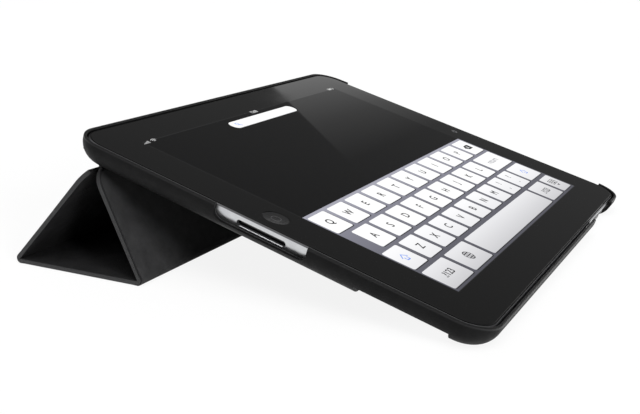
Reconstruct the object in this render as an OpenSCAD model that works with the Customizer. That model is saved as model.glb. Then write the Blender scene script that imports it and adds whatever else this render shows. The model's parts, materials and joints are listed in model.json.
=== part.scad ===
// Tablet in a hard back case, with a three-panel cover that folds into a typing stand.
// Device frame: X runs along the long side from its middle, Y from the front long edge
// to the back one, and Z out of the glass, whose face is Z = 0. Section points are
// [Y, Z] pairs in that frame. raised() sets the device on the table.

/* [Stand] */
// Angle between the glass and the table, in degrees
tilt = 17; // [15:0.5:19]
// Cover panel behind the spine strip, fold to fold
panel_1_len = 64; // [61:0.5:68]
// Cover panel that lies on the table, fold to fold
panel_2_len = 69.5; // [66:0.5:73]
// Spine strip, fold to fold
strip_len = 10.8; // [10.4:0.1:12]
// Place of the strip round the case's back edge, in degrees from level
strip_angle = -65.8; // [-68:0.2:-63]

/* [Cover] */
// Step from each end of the tablet to the end of the cover
cover_in = 1.1; // [0:0.1:3]
// Corner radius of the cover's outer corners
cover_corner_r = 9; // [6:0.5:12]
// Thickness of the leather outside, which wraps the edges
leather_t = 0.6; // [0.5:0.05:0.8]
// Thickness of the stiffener board in each panel
board_t = 1.2; // [1:0.1:1.6]
// Thickness of the microfibre face
microfibre_t = 0.6; // [0.4:0.05:0.8]
// Thickness of the spine strip
strip_t = 1.2; // [1:0.05:1.4]
// Radius of the soft rolls in the two folds of the spine strip
strip_roll_r = 0.9; // [0.7:0.05:1]
// Width of leather round each board
board_margin = 1.2; // [1:0.1:2]
// Step from the cover's edge to the edge of its microfibre face
face_step = 0.7; // [0.4:0.1:1.2]
// Gap between moving soft pieces
cover_gap = 0.3; // [0.25:0.05:0.4]
// Gap between the free panel's end and the strip's roll
apex_gap = 0.45; // [0.4:0.05:0.8]

/* [Magnets] */
// Number of magnets in the free edge
magnet_n = 6; // [4:1:8]
// Length of a magnet along the edge
magnet_l = 12; // [8:0.5:16]
// Width of a magnet
magnet_w = 5; // [3:0.5:6]
// Thickness of a magnet
magnet_t = 1; // [0.6:0.1:1.2]
// Diameter of the magnet that wakes the tablet
wake_d = 5; // [3:0.5:6]
// Distance from each end of the cover to the steel plate that the magnets hold to
catch_in = 24.5; // [15:0.5:45]
// Width of the steel plate
catch_w = 6; // [4:0.5:8]

/* [Tablet] */
// Long side of the tablet
tablet_l = 241.2; // [236:0.1:246]
// Short side of the tablet
tablet_w = 185.7; // [183:0.1:188]
// Thickness of the tablet
tablet_t = 8.8; // [8.6:0.1:9.6]
// Corner radius of the tablet seen from above
tablet_corner_r = 12; // [10:0.5:14]
// Radius of the tablet's curved back edge
tablet_edge_r = 7.5; // [7:0.1:7.7]
// Thickness of the front glass
glass_t = 1; // [0.8:0.05:1.2]
// Step from the tablet's edge to the glass
glass_inset = 0.9; // [0.7:0.05:1.2]
// Wall of the metal housing
housing_t = 1.2; // [1:0.05:1.3]
// Thickness of the ledge that carries the glass
ledge_t = 0.8; // [0.6:0.05:1]
// Distance from the tablet's edge to the inside of the ledge
ledge_w = 2.6; // [2.2:0.1:3]
// Step from the tablet's edge to the gasket
gasket_inset = 0.15; // [0.1:0.05:0.3]
// Height of the gasket over the ledge
gasket_h = 0.65; // [0.4:0.05:0.8]

/* [Inside the tablet] */
// Distance from the tablet's short edges to the display module
display_in_u = 19.85; // [19:0.05:22]
// Distance from the tablet's long edges to the display module
display_in_v = 16.85; // [14:0.05:19]
// Thickness of the display module
display_t = 2.6; // [2:0.1:2.7]
// Number of battery cells
cell_n = 3; // [2:1:4]
// Distance from the tablet's long edges to the battery cells
cell_in = 33.85; // [28:0.05:42]
// Thickness of a battery cell
cell_t = 3.2; // [2.5:0.1:3.3]
// Gap between battery cells
cell_gap = 1.5; // [0.5:0.1:3]
// Width of the logic board
logic_l = 26; // [20:0.5:28]
// Distance from the tablet's long edges to the logic board
logic_in_v = 27.85; // [23:0.05:37]
// Distance from the tablet's right end to the logic board
logic_in_u = 19.7; // [19.3:0.1:21]
// Thickness of the bare logic board
logic_t = 0.8; // [0.6:0.1:1]
// Height of the shield cans under the logic board
shield_h = 1.6; // [1.2:0.1:1.8]
// Height of the chips on the logic board
chip_h = 0.9; // [0.5:0.1:1]
// Width of the speaker module
speaker_l = 13; // [10:0.5:15]
// Length of the speaker module
speaker_w = 33; // [28:0.5:36]
// Height of the speaker module
speaker_h = 3.2; // [2.5:0.1:4]
// Number of speaker holes in a row
speaker_hole_n = 11; // [6:1:12]
// Radius of a speaker hole
speaker_hole_r = 0.6; // [0.4:0.05:0.8]
// Spacing of the speaker holes
speaker_pitch = 2.6; // [2:0.1:2.7]

/* [Case] */
// Wall of the moulded case
shell_t = 1.4; // [1.2:0.05:1.6]
// Thickness of the case's lining
lining_t = 0.4; // [0.3:0.05:0.6]
// Gap between the tablet and the lining
fit_gap = 0.3; // [0.25:0.05:0.35]
// Height of the case's rim over the glass
rim_rise = 0.3; // [0.1:0.05:0.35]
// Depth of the groove that the cover's leather is glued into
groove_t = 0.6; // [0.4:0.05:0.8]
// Half width of that groove, in degrees round the back edge
groove_half = 20; // [15:1:24]
// Thickness of the leather between the groove and its roll
neck_t = 0.9; // [0.7:0.05:0.95]
// Height of the lining below the glass
lining_drop = 3; // [2:0.1:4]

/* [Openings in the case] */
// Width of the opening at the charging socket
dock_cut_w = 42; // [36:0.5:50]
// Depth of that opening below the glass
dock_cut_z = 6; // [5.5:0.1:6.5]
// Radius of that opening's lower corners
dock_cut_r = 4; // [2:0.5:5]
// Middle of the opening at the side keys, from the tablet's right end
keys_cut_u = 44.2; // [40:0.2:49]
// Length of the opening at the side keys
keys_cut_l = 42; // [40:0.5:48]
// Depth of that opening into the back
keys_cut_depth = 6; // [5:0.5:8]
// Start of the opening at the right end, from the front edge
end_cut_from = 10; // [8:0.5:14]
// End of the opening at the right end, from the back edge
end_cut_back = 17.2; // [15:0.1:22]
// Depth of that opening below the glass
end_cut_z = 7.2; // [7:0.1:7.6]
// Radius of the corners of the key and end openings
cut_r = 3; // [2:0.5:4]
// Start of the sound opening, from the front edge
sound_cut_from = 12.7; // [10:0.1:15]
// End of the sound opening, from the front edge
sound_cut_to = 51; // [49:0.5:54]
// Width of the sound opening from the tablet's left end
sound_cut_u = 17; // [15:0.5:20]
// Height of the sound opening's top below the glass
sound_cut_z = 6.9; // [6.7:0.1:7.2]
// Radius of the camera opening
camera_cut_r = 9; // [7:0.5:10]

/* [Sockets and keys] */
// Width of the charging socket
dock_w = 22.4; // [20:0.1:26]
// Height of the charging socket
dock_h = 2.6; // [2.2:0.1:3]
// Depth of the socket's middle below the glass
dock_z = 4; // [3.8:0.1:4.2]
// Depth of the charging socket
dock_depth = 8; // [6:0.5:10]
// Radius of the headphone socket's bore
jack_r = 1.8; // [1.75:0.01:1.85]
// Length of the headphone socket's bore
jack_len = 14; // [12:0.5:15]
// Wall of the headphone socket
jack_wall = 1; // [0.8:0.05:1.1]
// Place of the headphone socket, from the back edge
jack_back = 25.7; // [22:0.1:35]
// Depth of the headphone socket's axis below the glass
jack_z = 4.4; // [4.2:0.1:4.5]
// Place of the home button, from the tablet's left end
home_u = 11; // [10:0.1:12]
// Radius of the home button
home_r = 5.6; // [5:0.1:6]
// Travel of the home button
home_travel = 0.4; // [0.3:0.05:0.5]
// Gap round each key
key_gap = 0.3; // [0.2:0.05:0.4]
// Place of the volume rocker, from the tablet's right end
volume_u = 51.2; // [50:0.1:53]
// Length of the volume rocker
volume_l = 20; // [16:0.5:21]
// Height of the side keys
key_h = 2.8; // [2:0.1:3]
// Depth of the side keys' middle below the glass
key_z = 4; // [3.8:0.1:4.2]
// Height of the side keys over the housing
key_proud = 0.6; // [0.3:0.05:0.8]
// Place of the mute switch, from the tablet's right end
mute_u = 32.2; // [31:0.1:33.5]
// Length of the mute switch's slider
mute_l = 4.2; // [3.5:0.1:5]
// Travel of the mute switch
mute_travel = 1.6; // [1:0.1:2]
// Place of the power key, from the front edge
power_v = 30; // [26:0.5:36]
// Length of the power key
power_l = 12; // [9:0.5:14]
// Travel of the power key
power_travel = 0.35; // [0.25:0.05:0.4]
// Depth of the keys into the housing
key_depth = 2.6; // [2.4:0.1:2.8]
// Place of the front camera, from the tablet's right end
front_camera_u = 10.2; // [9:0.1:12]
// Radius of the front camera
front_camera_r = 2.6; // [2:0.1:3]
// Place of the back camera, from the tablet's right end
camera_u = 17; // [15:0.5:19]
// Place of the back camera, from the front edge
camera_v = 17; // [15:0.5:19]
// Radius of the back camera's barrel
camera_r = 3.2; // [2.5:0.1:4]

/* [Hidden] */
$fn = 64;
// Reach of a cutting shape past the surface that it cuts
over = 1;
far = 40;

// Case section: the tablet's edge, the lining and the shell share one arc centre
shell_in = fit_gap + lining_t;
shell_out = shell_in + shell_t;
arc_z = tablet_edge_r - tablet_t;
shell_r = tablet_edge_r + shell_out;
case_back = -tablet_t - shell_out;
panel_t = leather_t + board_t + microfibre_t;
half_t = panel_t / 2;
face_z = half_t - microfibre_t;

// Standing on the table: the shell's front edge touches it, and so does panel 2
lift_z = shell_r - tablet_edge_r * sin(tilt) - arc_z * cos(tilt);
function to_table(p) = [p[0] * cos(tilt) - p[1] * sin(tilt),
                        lift_z + p[0] * sin(tilt) + p[1] * cos(tilt)];
function to_device(p) = [p[0] * cos(tilt) + (p[1] - lift_z) * sin(tilt),
                         (p[1] - lift_z) * cos(tilt) - p[0] * sin(tilt)];
function along(p, a, d) = p + d * [cos(a), sin(a)];
function heading(p, q) = atan2(q[1] - p[1], q[0] - p[0]);

// Spine strip: a chord just outside the back edge's arc
arc_mid = [tablet_w - tablet_edge_r, arc_z];
strip_off = shell_r + cover_gap + strip_t / 2;
strip_half = atan(strip_len / 2 / strip_off);
strip_end_r = norm([strip_off, strip_len / 2]);
anchor_angle = strip_angle + strip_half;
fold_a = along(arc_mid, anchor_angle, strip_end_r);
fold_b = along(arc_mid, strip_angle - strip_half, strip_end_r);
strip_dir = strip_angle - 90;

// Folds on the table, half a panel above it
b_table = to_table(fold_b);
c_table = [b_table[0] + sqrt(pow(panel_1_len, 2) - pow(b_table[1] - half_t, 2)), half_t];
fold_c = to_device(c_table);
fold_d = to_device([c_table[0] - panel_2_len, half_t]);
panel_1_dir = heading(fold_b, fold_c);
panel_2_dir = heading(fold_c, fold_d);

// Panel 3 runs up to the case's back, just in front of the strip's roll
apex_y = fold_b[0] - strip_roll_r - apex_gap - panel_t * sin(heading(fold_d, fold_b));
apex = [apex_y, case_back - cover_gap];
panel_3_len = sqrt(pow(norm(apex - fold_d), 2) - pow(half_t, 2));
panel_3_dir = heading(fold_d, apex) - atan(half_t / panel_3_len);

// Angle inside the stand at each fold, and the bevel that lets the panels meet there
inside_c = panel_2_dir - 180 - panel_1_dir;
inside_d = panel_3_dir - panel_2_dir + 180;
fold_start = half_t + cover_gap;
bevel_c = half_t / tan(inside_c / 2) + cover_gap;
bevel_d = half_t / tan(inside_d / 2) + cover_gap;
panel_1_start = strip_roll_r + 2 * cover_gap + strip_t / 2;
cover_len = tablet_l - 2 * cover_in;
strip_l = cover_len - 2 * cover_corner_r;
catch_l = cover_len - 2 * catch_in;
board_low = leather_t - half_t;

// The part's origin is under the middle of its box
y_front = -shell_out * cos(tilt) - rim_rise * sin(tilt);
y_back = c_table[0] + half_t;
y_mid = (y_front + y_back) / 2;

// Places that several pieces share
ledge_z = -glass_t - ledge_t;
floor_z = -tablet_t + housing_t;
mid_y = tablet_w / 2;
home_x = home_u - tablet_l / 2;
right_x = tablet_l / 2;
volume_x = right_x - volume_u;
mute_x = right_x - mute_u;
end_cut_to = tablet_w - end_cut_back;
jack_v = tablet_w - jack_back;
display_l = tablet_l - 2 * display_in_u;
display_w = tablet_w - 2 * display_in_v;
// How far the curved back edge stands in from the tablet's side, at a depth below the glass
function skin(depth) = tablet_edge_r - sqrt(pow(tablet_edge_r, 2) - pow(depth + arc_z, 2));
key_skin = skin(key_z);
wall_cut = over + tablet_edge_r;
bracket_y = key_depth + 2 * key_gap;
bracket_t = 0.8;
bracket_tab = 3;
bracket_reach = bracket_tab + 3 * key_gap;
dome_r = 3;
dome_side_r = 1.2;
// What is left between a pressed key and its dome
key_play = 0.1;
home_sunk = 0.15;
home_flange = 1;
home_flange_t = 0.4;
home_plate_t = 0.35;
home_dome_h = 0.15;
home_flange_z = -glass_t - key_gap;
home_dome_z = home_flange_z - home_flange_t - home_travel - key_play;
// Clearance round a fixed part in its hole
part_fit = 0.1;
mic_r = 0.6;
mic_size = 3;
front_camera_h = 2.8;
camera_h = 4;
camera_flange = 1;
// Gap between the curved edge and the speaker, and the speaker's rim round its mouth
speaker_in = 1;
speaker_rim = 2;
speaker_x = speaker_in + tablet_edge_r + speaker_l / 2 - right_x;
speaker_y = (sound_cut_from + sound_cut_to) / 2;
cells_x = speaker_x + speaker_l / 2 + cell_gap;
logic_x = right_x - logic_in_u - logic_l;
logic_w = tablet_w - 2 * logic_in_v;
// Shares of the logic board's length where its shield cans and its chips start
shield_places = [0.05, 0.4, 0.7];
chip_places = [0.12, 0.5, 0.78];
logic_rim = 4;
shield_l = logic_l - 2 * logic_rim;
chip_l = logic_l / 2;
cell_l = (logic_x - cells_x) / cell_n - cell_gap;
cell_w = tablet_w - 2 * cell_in;
dock_fit = 0.2;
dock_wall = 0.4;
tongue_in = 1.2;
tongue_t = 0.6;
// The socket's body: wider than its mouth, and deeper below it
dock_shoulder = 1.8;
dock_under = 0.7;
dock_body_w = dock_w + 2 * dock_shoulder;
dock_body_low = dock_z + dock_h / 2 + dock_under;
dock_body_top = dock_z - dock_h / 2 + part_fit;
nose_x = skin(dock_z + dock_h / 2) + dock_fit - right_x;
dock_x = nose_x + housing_t + over;
jack_x = right_x - skin(jack_z + jack_r + jack_wall);

// ---- Shared shapes ----

// Puts the device frame on the table, tipped up
module raised() {
    translate([0, -y_mid, lift_z]) rotate([tilt, 0, 0]) children();
}

// Draws a (Y, Z) section along X, centred
module across(length) {
    translate([-length / 2, 0, 0]) rotate([90, 0, 90]) linear_extrude(length) children();
}

// Stands a child on a fold, with Y along the panel and Z out of its microfibre face
module on_fold(p, angle) {
    translate([0, p[0], p[1]]) rotate([angle, 0, 0]) children();
}

// Flat rectangle with round corners
module round_rect(l, w, r) {
    square([l - 2 * r, w], center = true);
    square([l, w - 2 * r], center = true);
    for (x = [-1, 1], y = [-1, 1])
        translate([x * (l / 2 - r), y * (w / 2 - r)]) circle(r);
}

// The tablet's outline seen from above, grown outward
module outline(grow) {
    translate([0, mid_y])
        round_rect(tablet_l + 2 * grow, tablet_w + 2 * grow, tablet_corner_r + grow);
}

// Slot with round ends, long along X
module slot(l, h) {
    square([l - h, h], center = true);
    for (x = [-1, 1]) translate([x * (l - h) / 2, 0]) circle(h / 2);
}

// Half of a section whose lower outer edge is a quarter round
module edge_section(width, r, top) {
    translate([0, arc_z]) square([width, top - arc_z]);
    translate([0, arc_z - r]) square([width - r, r]);
    translate([width - r, arc_z]) intersection() {
        circle(r);
        translate([0, -r]) square(r);
    }
}

// Solid of the tablet's form, grown outward, up to a flat top
module tray_form(grow, top) {
    l = tablet_l + 2 * grow;
    w = tablet_w + 2 * grow;
    corner = tablet_corner_r + grow;
    r = tablet_edge_r + grow;
    translate([0, mid_y, 0]) {
        across(l - 2 * corner)
            for (m = [0, 1]) mirror([m, 0]) edge_section(w / 2, r, top);
        for (m = [0, 1]) mirror([m, 0, 0]) translate([l / 2 - corner, 0, 0]) {
            translate([0, w / 2 - corner, 0]) rotate([90, 0, 0])
                linear_extrude(w - 2 * corner) edge_section(corner, r, top);
            for (n = [0, 1]) mirror([0, n, 0]) translate([0, w / 2 - corner, 0])
                rotate_extrude(angle = 90) edge_section(corner, r, top);
        }
    }
}

// ---- Case ----

// Opening drawn in (Y, Z) and cut through the wall at one end
module end_opening(side, from, to, low, r) {
    depth = tablet_edge_r + shell_out + over;
    translate([side * (right_x - tablet_edge_r + depth / 2), (from + to) / 2, 0])
        across(depth) translate([0, (far + low) / 2]) round_rect(to - from, far - low, r);
}

// Everything cut out of the shell and its lining
module case_openings() {
    dock_half = dock_cut_w / 2;
    end_opening(-1, mid_y - dock_half, mid_y + dock_half, -dock_cut_z, dock_cut_r);
    end_opening(1, end_cut_from, end_cut_to, -end_cut_z, cut_r);
    translate([right_x - keys_cut_u, 0, -far / 2]) linear_extrude(far)
        translate([0, (keys_cut_depth - far) / 2])
            round_rect(keys_cut_l, far + keys_cut_depth, cut_r);
    sound_w = sound_cut_to - sound_cut_from;
    translate([-right_x, sound_cut_from + sound_w / 2, -sound_cut_z - far])
        linear_extrude(far) translate([(sound_cut_u - far) / 2, 0])
            round_rect(far + sound_cut_u, sound_w, cut_r);
    translate([right_x - camera_u, camera_v, case_back - over])
        cylinder(r = camera_cut_r, h = -case_back);
}

// Band round the back edge's arc, in section
module arc_band(inner, outer) {
    reach = 2 * outer;
    translate(arc_mid) intersection() {
        difference() {
            circle(outer);
            circle(inner);
        }
        polygon([[0, 0],
                 along([0, 0], anchor_angle - groove_half, reach),
                 along([0, 0], anchor_angle + groove_half, reach)]);
    }
}

module back_shell() color([0.1, 0.1, 0.105]) raised() difference() {
    tray_form(shell_out, rim_rise);
    tray_form(shell_in, rim_rise + over);
    case_openings();
    across(strip_l) arc_band(shell_r - groove_t, shell_r + over);
}

module shell_lining() color([0.16, 0.16, 0.17]) raised() difference() {
    tray_form(shell_in, 0);
    tray_form(fit_gap, over);
    layer(-lining_drop, over) outline(shell_out);
    case_openings();
}

// Leather glued into the groove, out to the roll that the strip folds on
module spine_anchor() color([0.13, 0.13, 0.135]) raised() across(strip_l) {
    arc_band(shell_r - groove_t, shell_r);
    translate(fold_a) circle(strip_roll_r);
    difference() {
        translate(arc_mid) rotate(anchor_angle) translate([0, -neck_t / 2])
            square([strip_end_r, neck_t]);
        translate(arc_mid) circle(shell_r);
    }
}

// ---- Cover ----

// Section of a piece of cover that ends in a soft roll
module rolled_section(start, length, low, high, roll) {
    translate([start, low]) square([length - start, high - low]);
    translate([length, 0]) circle(roll);
}

module spine_strip() color([0.13, 0.13, 0.135]) raised() on_fold(fold_a, strip_dir)
    across(strip_l) rolled_section(strip_roll_r + cover_gap, strip_len,
                                   -strip_t / 2, strip_t / 2, strip_roll_r);

// Leather of a panel in section, bevelled on its leather side towards each fold
module leather_section(length, start, start_bevel, end_bevel) {
    polygon([[start, face_z], [start, 0], [start_bevel, -half_t],
             [length - end_bevel, -half_t], [length, 0], [length, face_z]]);
}

// A panel from above, moved in by inset, with round corners at its start or its end
module panel_plan(length, inset, from, to, round_start = false, round_end = false) {
    w = cover_len - 2 * inset;
    intersection() {
        translate([-w / 2, from]) square([w, to - from]);
        if (round_start) round_ended(w, inset);
        if (round_end) translate([0, length]) mirror([0, 1]) round_ended(w, inset);
    }
}

// Endless strip along Y whose two corners near Y = 0 are round
module round_ended(w, inset) {
    r = cover_corner_r;
    translate([-w / 2, r]) square([w, far * 3]);
    translate([r - cover_len / 2, inset]) square([cover_len - 2 * r, r]);
    for (x = [-1, 1]) translate([x * (cover_len / 2 - r), r]) circle(r - inset);
}

// Flat layer of a panel, from one height to another
module layer(low, high) {
    translate([0, 0, low]) linear_extrude(high - low) children();
}

module board_layer() {
    layer(board_low, face_z) children();
}

module panel_1_board_plan() {
    panel_plan(panel_1_len, board_margin, panel_1_start + board_margin,
               panel_1_len - bevel_c - board_margin, round_start = true);
}

module panel_2_board_plan() {
    panel_plan(panel_2_len, board_margin, bevel_c + board_margin,
               panel_2_len - bevel_d - board_margin);
}

module panel_3_board_plan() {
    panel_plan(panel_3_len, board_margin, bevel_d + board_margin,
               panel_3_len - board_margin, round_end = true);
}

// Places each panel where the stand holds it
module panel_1() {
    raised() on_fold(fold_b, panel_1_dir) children();
}

module panel_2() {
    raised() on_fold(fold_c, panel_2_dir) children();
}

module panel_3() {
    raised() on_fold(fold_d, panel_3_dir) children();
}

module panel_1_leather() color([0.12, 0.12, 0.125]) panel_1() difference() {
    intersection() {
        across(cover_len) {
            leather_section(panel_1_len, panel_1_start, panel_1_start, bevel_c);
            translate([panel_1_len, 0]) circle(half_t);
        }
        layer(-panel_t, panel_t)
            panel_plan(panel_1_len, 0, 0, panel_1_len + panel_t, round_start = true);
    }
    board_layer() panel_1_board_plan();
}

module panel_2_leather() color([0.12, 0.12, 0.125]) panel_2() difference() {
    across(cover_len) {
        leather_section(panel_2_len, fold_start, bevel_c, bevel_d);
        translate([panel_2_len, 0]) circle(half_t);
    }
    board_layer() panel_2_board_plan();
}

module panel_3_leather() color([0.12, 0.12, 0.125]) panel_3() difference() {
    intersection() {
        across(cover_len) leather_section(panel_3_len, fold_start, bevel_d, 0);
        layer(-panel_t, panel_t)
            panel_plan(panel_3_len, 0, 0, panel_3_len, round_end = true);
    }
    board_layer() panel_3_board_plan();
}

module panel_1_face() color([0.2, 0.2, 0.21]) panel_1() layer(face_z, half_t)
    panel_plan(panel_1_len, face_step, panel_1_start, panel_1_len - fold_start,
               round_start = true);

module panel_2_face() color([0.2, 0.2, 0.21]) panel_2() layer(face_z, half_t)
    panel_plan(panel_2_len, face_step, fold_start, panel_2_len - fold_start);

module panel_3_face() color([0.2, 0.2, 0.21]) panel_3() layer(face_z, half_t)
    panel_plan(panel_3_len, face_step, fold_start, panel_3_len - face_step,
               round_end = true);

// Steel strip near the spine, which the free edge's magnets hold to
module catch_plan() {
    translate([-catch_l / 2, panel_1_start + 3 * board_margin]) square([catch_l, catch_w]);
}

// Magnets spread along the free edge
module magnet_plan() {
    pitch = (cover_len - 2 * cover_corner_r) / magnet_n;
    for (i = [0 : magnet_n - 1])
        translate([(i + 0.5 - magnet_n / 2) * pitch, panel_3_len - 2 * board_margin - magnet_w / 2])
            square([magnet_l, magnet_w], center = true);
}

module wake_plan() {
    translate([cover_len / 4, panel_3_len / 2]) circle(d = wake_d);
}

module panel_1_board() color([0.45, 0.4, 0.33]) panel_1() difference() {
    board_layer() panel_1_board_plan();
    layer(board_low - over, face_z + over) catch_plan();
}

module panel_2_board() color([0.45, 0.4, 0.33]) panel_2() board_layer() panel_2_board_plan();

module panel_3_board() color([0.45, 0.4, 0.33]) panel_3() difference() {
    board_layer() panel_3_board_plan();
    layer(board_low - over, face_z + over) {
        magnet_plan();
        wake_plan();
    }
}

module catch_plate() color([0.6, 0.6, 0.62]) panel_1() board_layer() catch_plan();

module edge_magnets() color([0.7, 0.7, 0.72]) panel_3()
    layer(board_low, board_low + magnet_t) magnet_plan();

module wake_magnet() color([0.7, 0.7, 0.72]) panel_3()
    layer(board_low, board_low + magnet_t) wake_plan();

// ---- Tablet ----

// Drawn in (Y, Z) and run along X, starting at x
module from_x(x, length) {
    translate([x + length / 2, 0, 0]) across(length) children();
}

// Drawn in (X, Z) and run along Y, starting at y
module from_y(y, length) {
    translate([0, y + length, 0]) rotate([90, 0, 0]) linear_extrude(length) children();
}

// Box from one corner to the opposite one
module box(low, high) {
    translate(low) cube(high - low);
}

module key_slot(length) {
    slot(length + 2 * key_gap, key_h + 2 * key_gap);
}

module speaker_holes() {
    run = (speaker_hole_n - 1) * speaker_pitch;
    for (row = [0, 1], i = [0 : speaker_hole_n - 1])
        translate([speaker_x + (row - 0.5) * speaker_pitch,
                   speaker_y + i * speaker_pitch - run / 2, -tablet_t - over])
            cylinder(r = speaker_hole_r, h = housing_t + 2 * over, $fn = 16);
}

module tablet_housing() color([0.78, 0.79, 0.8]) raised() difference() {
    tray_form(0, -glass_t);
    tray_form(-housing_t, ledge_z);
    layer(ledge_z - over, over) outline(-ledge_w);
    from_x(-right_x - over, wall_cut) translate([mid_y, -dock_z]) slot(dock_w, dock_h);
    from_x(right_x + over - wall_cut, wall_cut) {
        translate([jack_v, -jack_z]) circle(jack_r + jack_wall);
        translate([mid_y, -key_z]) circle(mic_r);
        translate([power_v, -key_z]) key_slot(power_l);
    }
    from_y(-over, wall_cut) {
        translate([volume_x, -key_z]) key_slot(volume_l);
        translate([mute_x, -key_z]) key_slot(mute_l + mute_travel);
    }
    translate([right_x - camera_u, camera_v, -tablet_t - over])
        cylinder(r = camera_r, h = housing_t + 2 * over);
    speaker_holes();
}

module glass_gasket() color([0.05, 0.05, 0.055]) raised()
    layer(-glass_t, -glass_t + gasket_h) difference() {
        outline(-gasket_inset);
        outline(-glass_inset);
    }

module touch_glass() color([0.03, 0.03, 0.035]) raised() difference() {
    layer(-glass_t, 0) outline(-glass_inset);
    translate([home_x, mid_y, -glass_t - over])
        cylinder(r = home_r + key_gap, h = glass_t + 2 * over);
}

module display_panel() color([0.2, 0.22, 0.25]) raised()
    translate([-display_l / 2, mid_y - display_w / 2, -glass_t - display_t])
        cube([display_l, display_w, display_t]);

module battery_cells() color([0.25, 0.25, 0.27]) raised() {
    pitch = cell_l + cell_gap;
    for (i = [0 : cell_n - 1])
        translate([cells_x + i * pitch, mid_y - cell_w / 2, floor_z])
            cube([cell_l, cell_w, cell_t]);
}

module logic_board() color([0.1, 0.35, 0.2]) raised()
    translate([logic_x, mid_y - logic_w / 2, floor_z]) {
        translate([0, 0, shield_h]) cube([logic_l, logic_w, logic_t]);
        for (y = shield_places)
            translate([(logic_l - shield_l) / 2, logic_w * y, 0])
                cube([shield_l, logic_w / 4, shield_h]);
        for (y = chip_places)
            translate([(logic_l - chip_l) / 2, logic_w * y, shield_h + logic_t])
                cube([chip_l, chip_l, chip_h]);
    }

module speaker_module() color([0.08, 0.08, 0.08]) raised() difference() {
    translate([speaker_x - speaker_l / 2, speaker_y - speaker_w / 2, floor_z])
        cube([speaker_l, speaker_w, speaker_h]);
    translate([speaker_x, speaker_y, floor_z - over]) linear_extrude(over + speaker_h / 2)
        square([speaker_l - 2 * speaker_rim, speaker_w - 2 * speaker_rim], center = true);
}

// Socket with a hollow nose and a tongue for the contacts
module dock_connector() color([0.05, 0.05, 0.05]) raised() translate([0, mid_y, 0]) {
    difference() {
        union() {
            box([dock_x, -dock_body_w / 2, -dock_body_low],
                [dock_x + dock_depth, dock_body_w / 2, -dock_body_top]);
            from_x(nose_x, dock_x - nose_x) translate([0, -dock_z])
                slot(dock_w - 2 * dock_fit, dock_h - 2 * dock_fit);
        }
        from_x(nose_x - over, dock_depth) translate([0, -dock_z])
            slot(dock_w - 2 * dock_wall, dock_h - 2 * dock_wall);
    }
    from_x(nose_x + over, dock_depth) translate([0, -dock_z])
        square([dock_w - 2 * tongue_in, tongue_t], center = true);
}

module headphone_jack() color([0.06, 0.06, 0.06]) raised() translate([0, jack_v, -jack_z])
    difference() {
        from_x(jack_x - jack_len - jack_wall, jack_len + jack_wall)
            circle(jack_r + jack_wall - part_fit);
        from_x(jack_x - jack_len, jack_len + over) circle(jack_r);
    }

module microphone() color([0.3, 0.3, 0.3]) raised()
    translate([right_x - bracket_y - mic_size, mid_y - mic_size / 2, -key_z - mic_size / 2])
        cube(mic_size);

module front_camera() color([0.08, 0.08, 0.1]) raised()
    translate([right_x - front_camera_u, mid_y, -glass_t - front_camera_h])
        cylinder(r = front_camera_r, h = front_camera_h);

module rear_camera() color([0.08, 0.08, 0.1]) raised()
    translate([right_x - camera_u, camera_v, -tablet_t]) {
        cylinder(r = camera_r - part_fit, h = camera_h);
        translate([0, 0, housing_t]) cylinder(r = camera_r + camera_flange, h = camera_flange);
    }

// Bridge under the glass that carries the home button's dome
module home_bracket() color([0.5, 0.5, 0.52]) raised() translate([home_x, mid_y, 0]) {
    low = home_dome_z - home_dome_h - home_plate_t;
    span = home_r + home_flange + key_gap + home_plate_t;
    box([-home_r, -span, low], [home_r, span, low + home_plate_t]);
    for (m = [0, 1]) mirror([0, m, 0])
        box([-home_r, span - home_plate_t, low], [home_r, span, -glass_t]);
    translate([0, 0, low + home_plate_t]) cylinder(r = dome_r, h = home_dome_h);
}

// Plate behind the front keys, hung from the ledge by a tab at each end
module side_key_bracket() color([0.5, 0.5, 0.52]) raised() {
    from = volume_x - volume_l / 2 - bracket_reach;
    to = mute_x + (mute_l + mute_travel) / 2 + bracket_reach;
    box([from, bracket_y, -key_z - key_h / 2], [to, bracket_y + bracket_t, ledge_z]);
    for (x = [from, to - bracket_tab])
        box([x, housing_t + key_gap, ledge_z - bracket_t], [x + bracket_tab, bracket_y, ledge_z]);
    for (x = [-1, 1])
        translate([volume_x + x * volume_l / 3, bracket_y, -key_z]) rotate([90, 0, 0])
            cylinder(r = dome_side_r, h = key_gap);
}

// Plate behind the power key, hung from the ledge
module power_bracket() color([0.5, 0.5, 0.52]) raised() {
    half = power_l / 2 + bracket_reach;
    back = right_x - bracket_y;
    box([back - bracket_t, power_v - half, -key_z - key_h / 2], [back, power_v + half, ledge_z]);
    for (y = [power_v - half, power_v + half - bracket_tab])
        box([back, y, ledge_z - bracket_t],
            [right_x - housing_t - key_gap, y + bracket_tab, ledge_z]);
    from_x(back, bracket_y - key_depth - power_travel - key_play)
        translate([power_v, -key_z]) circle(dome_side_r);
}

// ---- Keys ----

module home_button() color([0.04, 0.04, 0.045]) raised() translate([home_x, mid_y, 0]) {
    translate([0, 0, home_flange_z]) cylinder(r = home_r, h = -home_sunk - home_flange_z);
    translate([0, 0, home_flange_z - home_flange_t])
        cylinder(r = home_r + home_flange, h = home_flange_t);
}

module volume_rocker() color([0.1, 0.1, 0.1]) raised() translate([volume_x, 0, -key_z])
    from_y(key_skin - key_proud, key_depth - key_skin + key_proud) slot(volume_l, key_h);

module mute_switch() color([0.12, 0.12, 0.12]) raised()
    translate([mute_x - mute_travel / 2, 0, -key_z])
        from_y(key_skin - key_proud / 2, key_depth - key_skin + key_proud / 2)
            slot(mute_l, key_h);

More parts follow.
